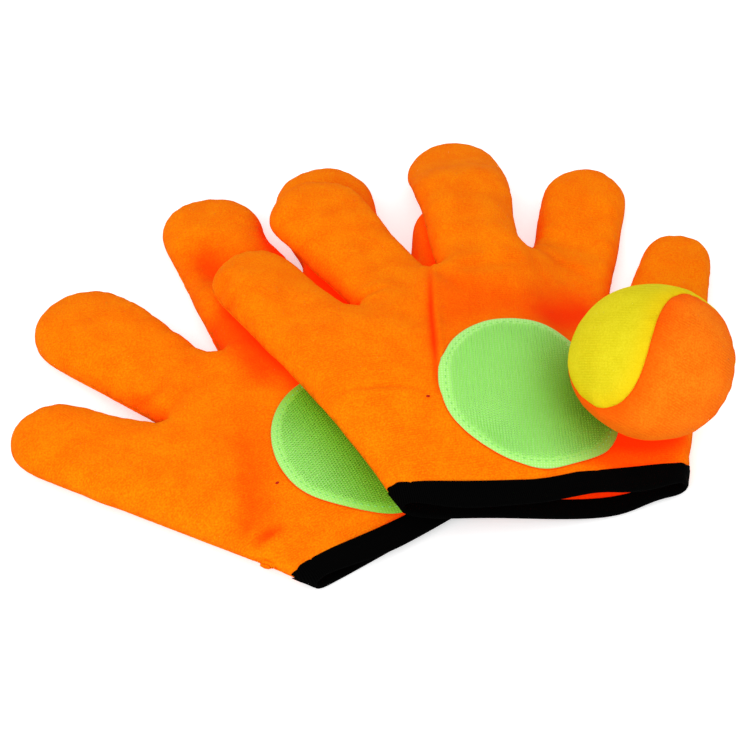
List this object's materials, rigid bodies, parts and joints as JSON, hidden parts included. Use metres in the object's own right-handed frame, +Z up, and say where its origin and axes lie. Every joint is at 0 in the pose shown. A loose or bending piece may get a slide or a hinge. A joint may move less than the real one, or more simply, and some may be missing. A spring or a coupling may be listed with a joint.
{
  "type": "hook and loop catch set",
  "caption": "Cloth catch gloves with a round hook patch on each palm and a stuffed cloth ball that sticks to them.",
  "frame": {"origin": "centre of the set's footprint box, on the surface that it lies on", "axes": "+Z up, +Y from the wrists towards the fingertips, +X to the right of someone who faces the fingertips from the wrists"},
  "size_m": [0.2922, 0.259, 0.074],
  "materials": {
    "orange_knit": "brushed knit",
    "green_hook_fabric": "rows of small hooks",
    "black_tape": "woven tape",
    "yellow_knit": "brushed knit",
    "ball_orange_knit": "brushed knit",
    "white_fibre": "loose fibre"
  },
  "bodies": {
    "root": {"rear_glove_palm_panel": "orange_knit", "rear_glove_back_panel": "orange_knit", "rear_glove_hook_patch": "green_hook_fabric", "rear_glove_palm_binding": "black_tape", "rear_glove_back_binding": "black_tape", "front_glove_palm_panel": "orange_knit", "front_glove_back_panel": "orange_knit", "front_glove_hook_patch": "green_hook_fabric", "front_glove_palm_binding": "black_tape", "front_glove_back_binding": "black_tape", "ball_yellow_panel": "yellow_knit", "ball_orange_panel": "ball_orange_knit", "ball_filling": "white_fibre"}
  },
  "joints": []
}
